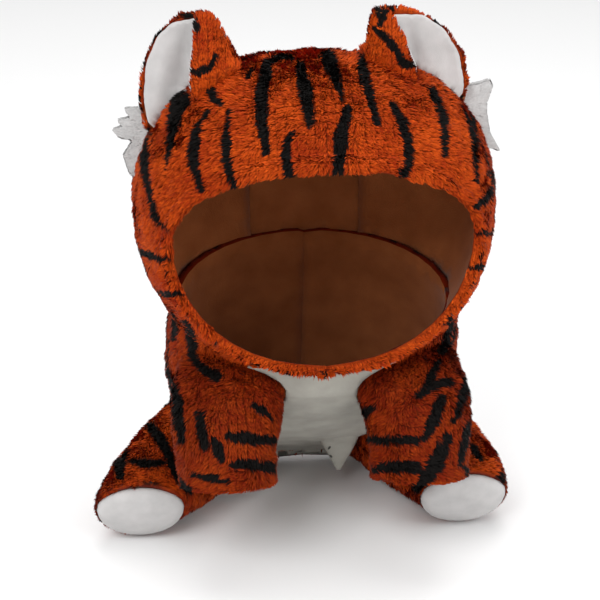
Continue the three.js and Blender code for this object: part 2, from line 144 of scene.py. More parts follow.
def makePileMaterial(name, settings):
    material, nodes, links, shader = newMaterial(name)
    colour = nodes.new("ShaderNodeAttribute")
    colour.attribute_name = "pileColour"
    place = nodes.new("ShaderNodeTexCoord")
    grain = nodes.new("ShaderNodeTexNoise")
    grain.inputs["Scale"].default_value = settings["grainScale"]
    grain.inputs["Detail"].default_value = 3
    links.new(place.outputs["Object"], grain.inputs["Vector"])
    ramp = nodes.new("ShaderNodeMapRange")
    ramp.inputs["From Min"].default_value = 0.3
    ramp.inputs["From Max"].default_value = 0.7
    ramp.inputs["To Min"].default_value = settings["dark"]
    ramp.inputs["To Max"].default_value = settings["bright"]
    links.new(grain.outputs["Fac"], ramp.inputs["Value"])
    mixed = nodes.new("ShaderNodeVectorMath")
    mixed.operation = "SCALE"
    links.new(colour.outputs["Color"], mixed.inputs[0])
    links.new(ramp.outputs["Result"], mixed.inputs["Scale"])
    links.new(mixed.outputs["Vector"], shader.inputs["Base Color"])
    shader.inputs["Roughness"].default_value = settings["roughness"]
    shader.inputs["Specular IOR Level"].default_value = settings["specular"]
    shader.inputs["Sheen Weight"].default_value = settings["sheen"]
    shader.inputs["Sheen Roughness"].default_value = 0.4
    return material


def makeClothMaterial(name, settings):
    # Short-napped or knitted cloth: mottled colour, a fine grain and soft unevenness in the bump.
    material, nodes, links, shader = newMaterial(name)
    place = nodes.new("ShaderNodeTexCoord")
    mottle = nodes.new("ShaderNodeTexNoise")
    mottle.inputs["Scale"].default_value = settings["mottleScale"]
    mottle.inputs["Detail"].default_value = 4
    links.new(place.outputs["Object"], mottle.inputs["Vector"])
    ramp = nodes.new("ShaderNodeValToRGB")
    ramp.color_ramp.elements[0].position = 0.3
    ramp.color_ramp.elements[0].color = (*settings["low"], 1)
    ramp.color_ramp.elements[1].position = 0.7
    ramp.color_ramp.elements[1].color = (*settings["high"], 1)
    links.new(mottle.outputs["Fac"], ramp.inputs["Fac"])
    links.new(ramp.outputs["Color"], shader.inputs["Base Color"])
    grain = nodes.new("ShaderNodeTexNoise")
    grain.inputs["Scale"].default_value = settings["grainScale"]
    grain.inputs["Detail"].default_value = 2
    links.new(place.outputs["Object"], grain.inputs["Vector"])
    fine = nodes.new("ShaderNodeBump")
    fine.inputs["Strength"].default_value = settings["grainStrength"]
    fine.inputs["Distance"].default_value = settings["grainDepth"]
    links.new(grain.outputs["Fac"], fine.inputs["Height"])
    swell = nodes.new("ShaderNodeTexNoise")
    swell.inputs["Scale"].default_value = settings["swellScale"]
    swell.inputs["Detail"].default_value = 1
    links.new(place.outputs["Object"], swell.inputs["Vector"])
    soft = nodes.new("ShaderNodeBump")
    soft.inputs["Strength"].default_value = 0.35
    soft.inputs["Distance"].default_value = settings["swellDepth"]
    links.new(swell.outputs["Fac"], soft.inputs["Height"])
    links.new(fine.outputs["Normal"], soft.inputs["Normal"])
    links.new(soft.outputs["Normal"], shader.inputs["Normal"])
    shader.inputs["Roughness"].default_value = settings["roughness"]
    shader.inputs["Specular IOR Level"].default_value = 0.2
    shader.inputs["Sheen Weight"].default_value = settings["sheen"]
    shader.inputs["Sheen Roughness"].default_value = 0.5
    return material


tigerPile = makePileMaterial("tigerPile", {
    "grainScale": 900, "dark": 0.84, "bright": 1.14, "roughness": 0.7, "specular": 0.07, "sheen": 0.02,
})
whitePile = makePileMaterial("whitePile", {
    "grainScale": 700, "dark": 0.90, "bright": 1.04, "roughness": 0.8, "specular": 0.1, "sheen": 0.1,
})
backingKnit = makeClothMaterial("backingKnit", {
    "mottleScale": 60, "low": (0.25, 0.072, 0.018), "high": (0.34, 0.105, 0.030),
    "grainScale": 1400, "grainStrength": 0.6, "grainDepth": 0.0006,
    "swellScale": 45, "swellDepth": 0.002, "roughness": 0.9, "sheen": 0.1,
})
whiteCloth = makeClothMaterial("whiteCloth", {
    "mottleScale": 90, "low": (0.45, 0.44, 0.435), "high": (0.53, 0.515, 0.51),
    "grainScale": 1800, "grainStrength": 0.35, "grainDepth": 0.0004,
    "swellScale": 55, "swellDepth": 0.0025, "roughness": 0.85, "sheen": 0.08,
})
# The belly panel's white cloth darkened to grey: painted shade for the shadow that would fall on it under
# the wearer's head.
bellyClothPaintedShade = makeClothMaterial("bellyClothPaintedShade", {
    "mottleScale": 70, "low": (0.31, 0.30, 0.265), "high": (0.39, 0.38, 0.335),
    "grainScale": 1800, "grainStrength": 0.35, "grainDepth": 0.0004,
    "swellScale": 40, "swellDepth": 0.0030, "roughness": 0.9, "sheen": 0.05,
})
print("materials made")


# Plush pieces. The table gives each plush node the line that it is wrapped round, how thick its wall can
# be, how many hairs it carries, which way they are combed and the nodes that it is sewn onto.

hoodCore = [(0, 0.005, 0.215)]
bodyCore = [(0, 0.013, 0.17), (0, 0.023, 0.11), (0, 0.048, 0.07),
            (0, 0.063, 0.05), (0, 0.077, 0.03), (0, 0.087, 0.012)]


def sleeveCore(side):
    return [(side * 0.048, -0.010, 0.135), (side * 0.056, -0.040, 0.105), (side * 0.057, -0.058, 0.060)]


def legCore(side):
    return [(side * 0.037, 0.088, 0.044), (side * 0.046, 0.074, 0.042), (side * 0.059, 0.056, 0.041),
            (side * 0.073 - 0.002, 0.036, 0.037), (side * 0.086 - 0.004, 0.016, 0.033),
            (side * 0.096 - 0.006, -0.002, 0.030), (side * 0.101 - 0.009, -0.020, 0.027)]


hoodNodes = ["hood_crown", "hood_left", "hood_right"]
bodyNodes = ["body_left", "body_right", "belly"]
legCarriers = bodyNodes + ["sleeve_left", "sleeve_right"]
plush = {
    "hood_crown": {
        "core": hoodCore, "wall": 0.020, "hairs": 58000, "comb": "hood", "flat": (0.09, 0.36),
        "area": 0.0215,
    },
    "hood_left": {
        "core": hoodCore, "wall": 0.020, "hairs": 68000, "comb": "hood", "flat": (0.21, 0.24),
        "area": 0.0275,
    },
    "hood_right": {
        "core": hoodCore, "wall": 0.020, "hairs": 68000, "comb": "hood", "flat": (0.21, 0.24),
        "area": 0.0275,
    },
    "ear_back_left": {
        "core": None, "hairs": 9000, "comb": "ear", "flat": (0.09, 0.07),
        "area": 0.0029, "sewnTo": hoodNodes,
    },
    "ear_back_right": {
        "core": None, "hairs": 9000, "comb": "ear", "flat": (0.09, 0.06),
        "area": 0.0026, "sewnTo": hoodNodes,
    },
    "body_left": {
        "core": bodyCore, "wall": 0.020, "hairs": 32000, "comb": "down", "flat": (0.18, 0.20),
        "area": 0.0245, "sewnTo": hoodNodes, "within": 0.008,
    },
    "body_right": {
        "core": bodyCore, "wall": 0.020, "hairs": 32000, "comb": "down", "flat": (0.18, 0.20),
        "area": 0.0245, "sewnTo": hoodNodes, "within": 0.008,
    },
    "sleeve_left": {
        "core": sleeveCore(-1), "wall": 0.0125, "hairs": 25000, "comb": "down", "flat": (0.20, 0.09),
        "area": 0.0105, "sewnTo": bodyNodes,
    },
    "sleeve_right": {
        "core": sleeveCore(1), "wall": 0.0125, "hairs": 25000, "comb": "down", "flat": (0.20, 0.09),
        "area": 0.0105, "sewnTo": bodyNodes,
    },
    "leg_left": {
        "core": legCore(-1), "wall": 0.0125, "hairs": 24000, "comb": "foot", "flat": (0.20, 0.11),
        "area": 0.0145, "sewnTo": legCarriers,
    },
    "leg_right": {
        "core": legCore(1), "wall": 0.0125, "hairs": 22000, "comb": "foot", "flat": (0.20, 0.11),
        "area": 0.0140, "sewnTo": legCarriers,
    },
}
pile = {
    "sunk": 0.0022,          # the matted bed of the pile lies this far under the ends of the hairs
    "thick": 0.0040,         # from there to the inside of the knit backing
    "earSunk": 0.0014,
    "earThick": 0.0026,
    "skinEdge": 0.012,       # longest edge of the skin before it is smoothed
    "bedEdge": 0.0029,       # longest edge of the bed's mesh
    "bedSwell": 0.0009,      # how far the bed rises and falls from tuft to tuft
    "seamReach": 0.0004,     # past the edge at a seam, and where a tube is sewn onto a panel
    "sewnReach": 0.0040,
    "allowance": 0.0030,     # how much further the backing goes on inside, at a seam
    "rise": 0.0024,          # how far a hair stands over the bed, and how far it leans
    "lean": 0.0036,
    "width": 0.00098,
    "past": 0.0010,          # the furthest that a hair hangs over a hem
    "brimHem": 0.0105,       # the crease of the turned hem, measured back from the edge
    "brimDip": 0.0012,
    "tuftCell": 0.0052,
    "floorGap": 0.0004,
    "lipShare": 0.3,         # the backing's share of its thickness at the face opening
    "lipOver": 0.018,        # and how far back it is whole again
}
# The rump's foot narrows to an edge on the floor, and the panel's cloth covers its front.
foot = {
    "halfWidth": 0.050,
    "edge": 0.0875,          # the edge's place, front to back
    "back": 0.0905,
    "top": 0.014,
    "ledgeTop": 0.016,       # flat faces below this are not pile
    "edgeLayer": 0.0002,     # at the edge, and then growing with the height over the floor
    "sunkRise": 0.20,
    "thickRise": 0.16,
}
crownSeam = 0.0370           # the hood crown's side faces lie past this, and are seams
neckPlane = {"height": 0.146, "slope": 0.3}


def lowered(points):
    return [Vector((x, y, z + floorHeight)) for x, y, z in points]


def nearestOnCore(place, core):
    if len(core) == 1:
        return core[0]
    best = None
    for start, end in zip(core, core[1:]):
        along = end - start
        share = min(max((place - start).dot(along) / along.length_squared, 0), 1)
        spot = start + along * share
        if best is None or (spot - place).length < (best - place).length:
            best = spot
    return best


def weldedCopy(nodeName):
    made = bmesh.new()
    made.from_mesh(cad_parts[nodeName].data)
    bmesh.ops.remove_doubles(made, verts=made.verts, dist=0.00002)
    bmesh.ops.dissolve_degenerate(made, edges=made.edges, dist=0.00002)
    made.normal_update()
    return made


def treeOf(nodeNames):
    together = bmesh.new()
    for nodeName in nodeNames:
        together.from_mesh(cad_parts[nodeName].data)
    tree = BVHTree.FromBMesh(together)
    together.free()
    return tree


def smoothed(made, verts, factor):
    bmesh.ops.smooth_vert(
        made, verts=verts, factor=factor, use_axis_x=True, use_axis_y=True, use_axis_z=True,
    )


def isPileFace(face, wall, core, lining, carriers, nodeName, settings):
    centre = face.calc_center_median()
    normal = face.normal
    if nodeName == "hood_crown" and abs(normal.x) > 0.95 and abs(centre.x) > crownSeam:
        return False
    low = nodeName.startswith("body") and centre.z < floorHeight + foot["ledgeTop"]
    if low and abs(normal.z) > 0.85:
        return False
    if lining is not None:
        onHood = carriers.find_nearest(centre, 0.0008)[3] is not None
        near = lining.find_nearest(centre)[3]
        return not onHood and near > 0.0016
    if nodeName.startswith("hood") and centre.y < -0.048 and normal.y < -0.35 and abs(normal.x) < 0.95:
        return True
    outward = centre - nearestOnCore(centre, core)
    if normal.dot(outward) <= 0:
        return False
    fromNeck = centre.z - floorHeight - neckPlane["height"] - neckPlane["slope"] * centre.y
    if abs(fromNeck) < 0.0012 and abs(normal.z) > 0.9:
        return False
    hit = wall.ray_cast(centre - normal * 0.0002, -normal, 0.04)
    return hit[3] is not None and hit[3] < settings["wall"]


def pileSkin(nodeName, settings):
    # The outer face of a plush node, as one welded skin. Along its edges the layer "cut" holds the way
    # across the seam or hem, and "reach" how far the plush goes on past it.
    made = weldedCopy(nodeName)
    wall = BVHTree.FromBMesh(made)
    carriers = treeOf(settings["sewnTo"]) if "sewnTo" in settings else None
    lining = None
    core = None
    if settings["core"] is None:
        lining = treeOf([nodeName.replace("back", "lining")])
    else:
        core = lowered(settings["core"])
    outer = {
        face for face in made.faces
        if isPileFace(face, wall, core, lining, carriers, nodeName, settings)
    }
    cut = made.verts.layers.float_vector.new("cut")
    for vert in made.verts:
        beside = [face for face in vert.link_faces if face not in outer]
        if beside and len(beside) < len(vert.link_faces):
            vert[cut] = sum((face.normal * face.calc_area() for face in beside), Vector()).normalized()
    bmesh.ops.delete(made, geom=[face for face in made.faces if face not in outer], context="FACES")
    long = [edge for edge in made.edges if edge.calc_length() > pile["skinEdge"]]
    bmesh.ops.subdivide_edges(made, edges=long, cuts=1)
    bmesh.ops.triangulate(made, faces=made.faces)
    inside = [vert for vert in made.verts if not vert.is_boundary]
    for turn in range(2):
        smoothed(made, inside, 0.35)
    made.normal_update()
    made.verts.index_update()
    reach = made.verts.layers.float.new("reach")
    allowance = made.verts.layers.float.new("allowance")
    others = treeOf([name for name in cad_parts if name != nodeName])
    for vert in made.verts:
        if vert.is_boundary and vert[cut].length > 0.5:
            within = settings.get("within", 0.0012)
            sewn = carriers is not None and carriers.find_nearest(vert.co, within)[3] is not None
            vert[reach] = pile["sewnReach"] if sewn else pile["seamReach"]
            lip = brimAway(np.array([vert.co[:]]), nodeName)[0] < pile["brimHem"]
            if not sewn and not lip and others.find_nearest(vert.co, 0.0006)[3] is not None:
                vert[allowance] = pile["allowance"]
    return made


def brimAway(places, nodeName):
    # How far each place is from the hood's front edge, measured back along the hood.
    if not nodeName.startswith("hood"):
        return np.full(len(places), 1.0)
    frontAtTop, frontAtSide, middleHeight, halfHeight = -0.080, -0.059, 0.212, 0.055
    rise = np.clip((places[:, 2] - floorHeight - middleHeight) / halfHeight, 0, 1)
    front = frontAtSide + (frontAtTop - frontAtSide) * rise ** 1.5
    return places[:, 1] - front


def sinkWay(vert, cut):
    # Straight in, or within the plane of the cut where a seam or hem ends the piece, or along the floor.
    way = -vert.normal
    across = vert[cut]
    level = Vector((way.x, way.y, 0))
    if vert.is_boundary and vert.co.z < floorHeight + 0.004 and level.length > 0.2:
        return level.normalized()
    if vert.is_boundary and across.length > 0.5:
        along = way - across * way.dot(across)
        if along.length > 0.35:
            way = along.normalized()
    return way


def plushShell(made, sunk, thick, nodeName):
    # A closed wall: the bed of the pile outside, finely divided, and the knit backing inside it. The
    # layer "edge" marks the points along the bed's own edge with the way across it.
    cut = made.verts.layers.float_vector["cut"]
    reach = made.verts.layers.float["reach"]
    allowance = made.verts.layers.float["allowance"]
    shell = bmesh.new()
    edgeWay = shell.verts.layers.float_vector.new("edge")
    outer = []
    inner = []
    places = np.array([vert.co[:] for vert in made.verts])
    away = brimAway(places, nodeName)
    lip = pile["lipShare"]
    backing = thick * (lip + (1 - lip) * np.clip(away / pile["lipOver"], 0, 1))
    depths = np.full(len(places), sunk)
    if nodeName.startswith("body"):
        height = places[:, 2] - floorHeight
        depths = np.minimum(depths, foot["edgeLayer"] + foot["sunkRise"] * height)
        backing = np.minimum(backing, foot["edgeLayer"] + foot["thickRise"] * height)
    for vert, sunk, thick in zip(made.verts, depths, backing):
        way = sinkWay(vert, cut)
        place = vert.co + vert[cut] * vert[reach]
        outer.append(shell.verts.new(place + way * sunk))
        inner.append(shell.verts.new(place + way * (sunk + thick) + vert[cut] * vert[allowance]))
        for point in (outer[-1], inner[-1]):
            point.co.z = max(point.co.z, floorHeight)
        if vert.is_boundary:
            outer[-1][edgeWay] = vert[cut]
    for face in made.faces:
        a, b, c = [vert.index for vert in face.verts]
        shell.faces.new((outer[a], outer[b], outer[c])).material_index = 0
        shell.faces.new((inner[c], inner[b], inner[a])).material_index = 1
    for side in made.edges:
        if side.is_boundary:
            corner = side.link_loops[0]
            a, b = corner.vert.index, corner.link_loop_next.vert.index
            shell.faces.new((outer[b], outer[a], inner[a], inner[b])).material_index = 2
    for turn in range(5):
        bedFaces = [face for face in shell.faces if face.material_index == 0]
        bedEdges = {edge for face in bedFaces for edge in face.edges}
        long = [edge for edge in bedEdges if edge.calc_length() > pile["bedEdge"]]
        if not long:
            break
        bmesh.ops.subdivide_edges(shell, edges=long, cuts=1)
        bmesh.ops.triangulate(shell, faces=shell.faces)
        bedFaces = [face for face in shell.faces if face.material_index == 0]
        inside = {vert for face in bedFaces for vert in face.verts}
        inside = [vert for vert in inside if all(face.material_index == 0 for face in vert.link_faces)]
        smoothed(shell, inside, 0.3)
    shell.normal_update()
    shell.verts.index_update()
    shell.verts.ensure_lookup_table()
    return shell


def bedArrays(shell):
    # The bed's points, normals from its own faces alone, faces, and its edge points with their ways.
    edgeWay = shell.verts.layers.float_vector["edge"]
    points = np.array([vert.co[:] for vert in shell.verts])
    bedFaces = [face for face in shell.faces if face.material_index == 0]
    faces = np.array([[vert.index for vert in face.verts] for face in bedFaces])
    corner = points[faces]
    facing = np.cross(corner[:, 1] - corner[:, 0], corner[:, 2] - corner[:, 0])
    normals = np.zeros_like(points)
    for k in range(3):
        np.add.at(normals, faces[:, k], facing)
    inBed = np.zeros(len(points), bool)
    inBed[faces.ravel()] = True
    rim = [vert for vert in shell.verts if inBed[vert.index]
           and any(face.material_index == 2 for face in vert.link_faces)]
    edge = np.array([vert.co[:] for vert in rim])
    ways = unit(np.array([vert[edgeWay][:] for vert in rim]))
    return points, unit(normals), faces, inBed, edge, ways


def finishPiece(name, mesh, node=None):
    piece = bpy.data.objects.new(name, mesh)
    bpy.context.scene.collection.objects.link(piece)
    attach(piece, "root")
    if node:
        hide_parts(node)
    return piece


def fromEdge(places, edge):
    # How far each place is from the nearest point of the bed's edge, and which point that is.
    tree = KDTree(len(edge))
    for index, place in enumerate(edge):
        tree.insert(place, index)
    tree.balance()
    found = [tree.find(place)[1:] for place in places]
    return np.array([item[1] for item in found]), np.array([item[0] for item in found])


# Stripes seen from the front, laid out in the photo's 600 x 600 frame.
# Columns: three places along the middle line as x, y pairs, then the width at each of them.
frontStripes = [
    (156, 118, 147, 152, 156, 206, 4, 10, 7),
    (156, 206, 160, 219, 169, 228, 7, 7, 4),
    (184, 99, 176, 122, 169, 168, 17, 13, 4),
    (210, 112, 196, 147, 203, 189, 6, 12, 7),
    (232, 112, 228, 152, 236, 187, 6, 10, 9),
    (291, 59, 272, 62, 266, 76, 6, 9, 12),
    (266, 76, 262, 108, 267, 151, 12, 15, 9),
    (299, 64, 306, 90, 310, 124, 7, 15, 10),
    (293, 134, 287, 152, 293, 177, 7, 10, 12),
    (326, 57, 334, 74, 342, 102, 15, 13, 4),
    (347, 110, 341, 138, 338, 176, 10, 15, 12),
    (361, 57, 365, 84, 376, 123, 9, 11, 7),
    (391, 105, 402, 128, 408, 154, 8, 11, 11),
    (408, 154, 405, 168, 396, 181, 11, 9, 6),
    (429, 90, 440, 116, 442, 155, 7, 10, 7),
    (452, 90, 468, 120, 474, 180, 7, 10, 6),
    (487, 172, 491, 186, 475, 205, 7, 9, 6),
    (213, 92, 217, 99, 223, 105, 8, 10, 7),
    (243, 60, 255, 55, 268, 53, 6, 7, 6),
    (254, 69, 250, 75, 247, 81, 3, 6, 3),
    (146, 252, 156, 255, 167, 259, 8, 9, 4),
    (158, 289, 168, 293, 181, 294, 4, 8, 4),
    (500, 228, 490, 231, 477, 232, 6, 8, 4),
    (484, 263, 478, 266, 469, 266, 4, 7, 4),
    (178, 15, 188, 16, 197, 29, 7, 11, 7),
    (191, 70, 204, 72, 215, 57, 6, 9, 6),
    (377, 8, 382, 16, 380, 26, 10, 10, 4),
    (379, 14, 385, 12, 391, 9, 8, 9, 8),
    (375, 29, 388, 41, 401, 58, 6, 9, 8),
    (399, 57, 406, 65, 416, 64, 9, 11, 5),
    (176, 311, 177, 324, 176, 339, 5, 8, 5),
    (187, 320, 194, 338, 194, 358, 6, 13, 8),
    (194, 358, 203, 368, 217, 377, 8, 8, 13),
    (169, 340, 167, 360, 170, 380, 6, 9, 12),
    (170, 380, 178, 402, 184, 440, 12, 14, 9),
    (162, 386, 158, 394, 155, 406, 8, 9, 5),
    (201, 414, 203, 430, 205, 446, 9, 12, 10),
    (213, 440, 219, 449, 223, 460, 8, 12, 6),
    (228, 435, 248, 438, 270, 439, 9, 13, 10),
    (253, 405, 262, 410, 270, 418, 6, 9, 5),
    (233, 464, 252, 464, 273, 467, 9, 14, 12),
    (194, 473, 211, 477, 228, 480, 5, 9, 6),
    (151, 427, 164, 446, 170, 462, 10, 12, 8),
    (170, 462, 177, 476, 188, 488, 8, 10, 12),
    (132, 462, 146, 464, 163, 463, 6, 10, 6),
    (127, 449, 122, 462, 121, 477, 8, 12, 8),
    (147, 485, 162, 492, 178, 506, 6, 10, 8),
    (103, 461, 99, 472, 97, 484, 5, 8, 6),
    (352, 427, 360, 416, 373, 408, 8, 13, 8),
    (371, 438, 393, 439, 416, 440, 8, 10, 10),
    (440, 399, 434, 416, 424, 437, 10, 14, 8),
    (417, 396, 431, 388, 448, 382, 8, 10, 8),
    (466, 372, 461, 396, 452, 421, 8, 10, 6),
    (465, 421, 462, 442, 456, 464, 6, 9, 5),
    (446, 436, 435, 460, 419, 486, 9, 17, 13),
    (377, 469, 396, 466, 416, 468, 9, 14, 12),
    (468, 443, 474, 451, 481, 461, 5, 10, 5),
    (463, 466, 469, 480, 476, 499, 8, 10, 8),
    (499, 474, 503, 484, 506, 498, 5, 9, 8),
    (449, 318, 447, 336, 440, 352, 6, 12, 8),
    (464, 316, 467, 330, 465, 345, 5, 8, 5),
    (438, 362, 430, 378, 425, 384, 6, 10, 6),
]


def stripePath(row):
    # The middle line as points about a millimetre apart, with the half width at each.
    start, middle, end = np.array(row[0:2]), np.array(row[2:4]), np.array(row[4:6])
    t = np.linspace(0, 1, 25)[:, None]
    bend = 2 * middle - (start + end) / 2
    line = (1 - t) ** 2 * start + 2 * t * (1 - t) * bend + t ** 2 * end
    widths = np.interp(t[:, 0], [0, 0.5, 1], row[6:9]) / 2
    return line, widths


def strokeCover(flatPlaces, path, widths):
    # How deep each place lies inside a stroke, in the units of the layout; negative outside it.
    depth = np.full(len(flatPlaces), -1e3)
    reach = widths.max() * 2
    low, high = path.min(0) - reach, path.max(0) + reach
    near = np.all((flatPlaces > low) & (flatPlaces < high), axis=1)
    if near.any():
        gaps = np.linalg.norm(flatPlaces[near][:, None] - path[None], axis=2)
        depth[near] = (widths[None] - gaps).max(axis=1)
    return depth


def seededStrokes(seed, across, up, settings):
    # Unseen sides carry like strokes: staggered columns of tapering, slightly wavy marks.
    chance = np.random.default_rng(seed)
    strokes = []
    place = across[0]
    while place < across[1]:
        height = up[0] + chance.uniform(-0.6, 0) * settings["length"]
        while height < up[1]:
            length = settings["length"] * chance.uniform(0.6, 1.25)
            lean = chance.uniform(-0.25, 0.25) * length
            bend = chance.uniform(-0.12, 0.12) * length
            width = settings["width"] * chance.uniform(0.7, 1.25)
            foot = np.array([place + chance.uniform(-0.2, 0.2) * settings["spacing"], height])
            tip = foot + np.array([lean, length])
            middle = (foot + tip) / 2 + np.array([bend, 0])
            row = (*foot, *middle, *tip, width * 0.5, width, width * 0.45)
            strokes.append(stripePath(row))
            height += length * chance.uniform(1.12, 1.4)
        place += settings["spacing"] * chance.uniform(0.85, 1.15)
    return strokes


strokeSizes = {
    "hood": {"length": 0.062, "width": 0.0085, "spacing": 0.024, "seed": 11},
    "down": {"length": 0.050, "width": 0.0080, "spacing": 0.024, "seed": 23},
    "foot": {"length": 0.034, "width": 0.0070, "spacing": 0.021, "seed": 31},
    "ear": {"length": 0.024, "width": 0.0070, "spacing": 0.022, "seed": 43},
}


def wrappedPlaces(points, comb, core):
    # Flat coordinates on a piece's hidden sides: along its way round, and along its length.
    if comb == "foot":
        middle = np.array([nearestOnCore(Vector(place), core)[:] for place in points])
        offset = points - middle
        angle = np.arctan2(offset[:, 2], offset[:, 0])
        return np.stack([points[:, 1], angle * 0.030], axis=1)
    if comb == "ear":
        return np.stack([points[:, 0], points[:, 2]], axis=1)
    centreY = 0.02 if comb == "down" else 0.01
    angle = np.arctan2(points[:, 0], points[:, 1] - centreY)
    return np.stack([angle * 0.092, points[:, 2]], axis=1)


def blackness(points, normals, nodeName, settings):
    # 1 on a black stripe and 0 on orange, with a narrow soft edge where the hairs mix.
    chance = np.random.default_rng(sum(map(ord, nodeName)))
    core = lowered(settings["core"]) if settings["core"] else None
    facing = (unit(cameraSpot - points) * normals).sum(axis=1)
    wobble = latticeNoise(points, 0.005, 5)[:, :2]
    places = photoPlace(points) + wobble * 0.8 + chance.normal(0, 0.45, (len(points), 2))
    front = np.full(len(points), -1e3)
    for row in frontStripes:
        path, widths = stripePath(row)
        front = np.maximum(front, strokeCover(places, path, widths))
    front = np.clip(front / 1.1 + 0.5, 0, 1)
    flat = wrappedPlaces(points, settings["comb"], core)
    flat = flat + wobble * 0.0006 + chance.normal(0, 0.0003, (len(points), 2))
    sizes = strokeSizes[settings["comb"]]
    low, high = flat.min(0), flat.max(0)
    hidden = np.full(len(points), -1e3)
    for path, widths in seededStrokes(sizes["seed"], (low[0], high[0]), (low[1], high[1]), sizes):
        hidden = np.maximum(hidden, strokeCover(flat, path, widths))
    hidden = np.clip(hidden / 0.0007 + 0.5, 0, 1)
    return np.where(facing > 0.12, front, hidden)


# Which way the pile is combed, before it is pulled into tufts.
def combDirection(points, normals, comb, side):
    swirl = latticeNoise(points, 0.028, 3)
    ripple = latticeNoise(points, 0.009, 9)
    if comb == "hood":
        outward = np.tanh(points[:, 0:1] / 0.020) * np.array([[1.0, 0, 0]])
        way = outward * 0.9 + np.array([0, -0.25, -0.75])
    elif comb == "ear":
        way = np.array([side * 0.3, 0.0, 1.0]) + np.zeros_like(points)
    elif comb == "foot":
        way = np.array([side * 0.25, -0.8, -0.55]) + np.zeros_like(points)
    else:
        way = np.array([side * 0.2, -0.15, -1.0]) + np.zeros_like(points)
    way = way + swirl * 0.8 + ripple * 0.7
    way = way - normals * (way * normals).sum(axis=1, keepdims=True)
    return unit(way)


furColours = {
    "bright": (0.57, 0.076, 0.0050),
    "deep": (0.245, 0.0160, 0.0008),
    "black": (0.0045, 0.0036, 0.0032),
}
# The sleeves, body and legs are darker and redder than the hood, by the first four letters of the node. The
# share of the bright colour is their own tone, and the depth is painted shade for the shadow of the
# wearer's head, which the scene does not have.
# Columns: share of the bright colour, depth (painted shade).
furToneAndPaintedShade = {
    "hood": (0.42, 1.0),
    "ear_": (0.46, 1.0),
    "body": (0.28, 0.76),
    "slee": (0.22, 0.62),
    "leg_": (0.44, 0.92),
}


def furColour(points, normals, nodeName, settings, chance):
    index = np.floor(points / pile["tuftCell"]).astype(np.int64)
    share, depth = furToneAndPaintedShade[nodeName[:4]]
    tone = share + 0.28 * latticeNoise(points, 0.017, 8)[:, 0]
    tone = tone + 0.14 * latticeValue(index, 5)[:, 0] + chance.normal(0, 0.16, len(points))
    tone = np.clip(tone, 0, 1)[:, None]
    fur = np.array(furColours["deep"]) * (1 - tone) + np.array(furColours["bright"]) * tone
    # Painted shade: the depth darkens the body, sleeves and legs.
    fur = fur * depth
    black = blackness(points, normals, nodeName, settings)[:, None]
    return fur * (1 - black) + np.array(furColours["black"]) * black


def swellBed(shell, points, normals, inBed, nodeName, ear):
    # The bed rises and falls from tuft to tuft, and dips along the crease of the turned hem.
    swell = latticeNoise(points, pile["tuftCell"], 51)[:, 0] + 0.8 * latticeNoise(points, 0.013, 52)[:, 0]
    height = swell * pile["bedSwell"] * (0.5 if ear else 1)
    away = brimAway(points, nodeName)
    height = height - pile["brimDip"] * np.exp(-((away - pile["brimHem"]) / 0.0025) ** 2)
    for vert in shell.verts:
        if inBed[vert.index] and all(face.material_index == 0 for face in vert.link_faces):
            vert.co += Vector(normals[vert.index]) * height[vert.index]


def underBelly(places, facing, nodeName):
    # The rump's foot, behind the belly panel's lower edge, is of the panel's cloth, grey with painted
    # shade, where it looks forward.
    middle = (np.abs(places[:, 0]) < foot["halfWidth"]) & (places[:, 1] < foot["back"])
    forward = (facing[:, 1] < 0.1) | (places[:, 1] < foot["edge"])
    return middle & forward & (places[:, 2] < floorHeight + foot["top"]) & nodeName.startswith("body")


def finishBed(nodeName, shell, settings, chance):
    points, normals, faces, inBed = bedArrays(shell)[:4]
    colours = np.ones((len(points), 4), np.float32)
    fur = furColour(points[inBed], normals[inBed], nodeName, settings, chance)
    # The bed under the hairs carries painted shade, and the inside points take the deep fur colour darkened
    # as painted shade.
    colours[inBed, :3] = fur * pilePaintedLightAndShade["bed"]
    colours[~inBed, :3] = np.array(furColours["deep"]) * pilePaintedLightAndShade["inside"]
    shell.faces.ensure_lookup_table()
    centres = np.array([face.calc_center_median()[:] for face in shell.faces])
    facing = np.array([face.normal[:] for face in shell.faces])
    # Inside faces at the hem and along the floor take the pile material, and so show the inside points'
    # painted shade: a dark sheet like shadowed fur.
    lip = (brimAway(centres, nodeName) < pile["brimHem"]) & (facing[:, 1] < -0.3)
    atFloor = (centres[:, 2] < floorHeight + foot["top"]) & nodeName.startswith("body")
    for face, under, hem in zip(shell.faces, underBelly(centres, facing, nodeName), lip | atFloor):
        face.smooth = True
        face.material_index = 2 if under else 1 if face.material_index == 1 and not hem else 0
    mesh = bpy.data.meshes.new(f"{nodeName}_cloth")
    shell.to_mesh(mesh)
    layer = mesh.color_attributes.new("pileColour", "FLOAT_COLOR", "POINT")
    layer.data.foreach_set("color", colours.ravel())
    for material in (tigerPile, backingKnit, bellyClothPaintedShade):
        mesh.materials.append(material)
    return finishPiece(f"{nodeName}_cloth", mesh, nodeName)


# Painted light and shade on the pile: the bed, the inside points and the hair roots are darkened as painted
# shade between the hairs, and the tips are lightened as painted light.
pilePaintedLightAndShade = {"inside": 0.5, "bed": 0.62, "root": 0.62, "middle": 0.98, "tip": 1.16}


